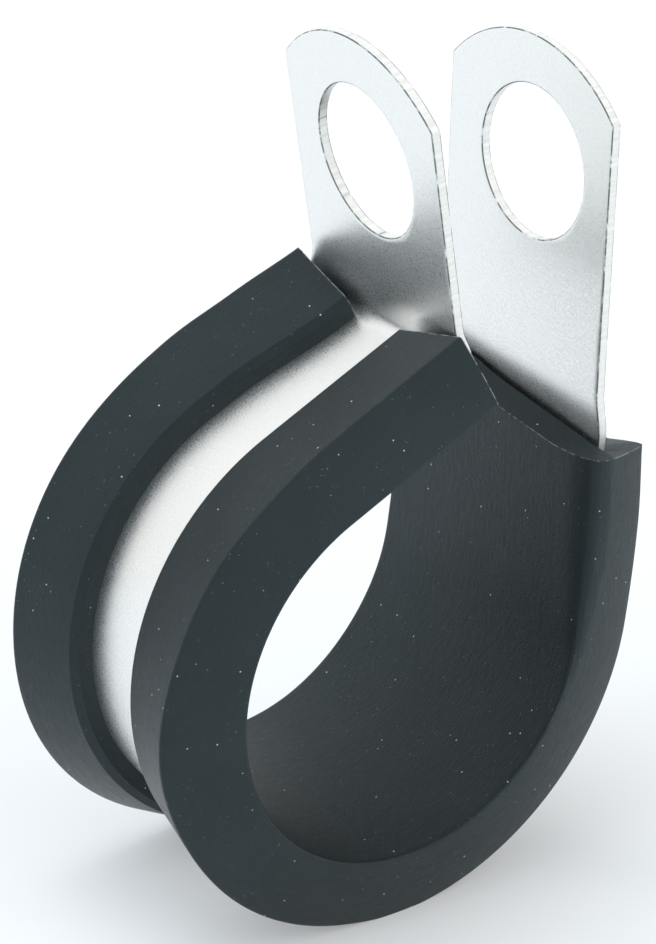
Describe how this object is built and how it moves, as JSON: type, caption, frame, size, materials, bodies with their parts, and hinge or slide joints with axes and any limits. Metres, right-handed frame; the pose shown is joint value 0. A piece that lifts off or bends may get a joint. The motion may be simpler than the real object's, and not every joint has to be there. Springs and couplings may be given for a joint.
{
  "type": "p clip",
  "caption": "Rubber-lined steel P clip that holds a pipe or cable bundle in its loop; two drilled ears close over one bolt to fix it to a panel.",
  "frame": {"origin": "centre of the lined bore, midway across the clip's width", "axes": "+Y along the bore, +Z from the bore towards the two ears, +X from the bent ear towards the straight ear"},
  "size_m": [0.0371, 0.02, 0.0573],
  "materials": {
    "zinc_plated_steel": "bright satin zinc plate with fine speckle",
    "liner_rubber": "smooth matt extruded rubber"
  },
  "bodies": {
    "root": {"steel_band": "zinc_plated_steel", "rubber_liner": "liner_rubber"}
  },
  "joints": []
}
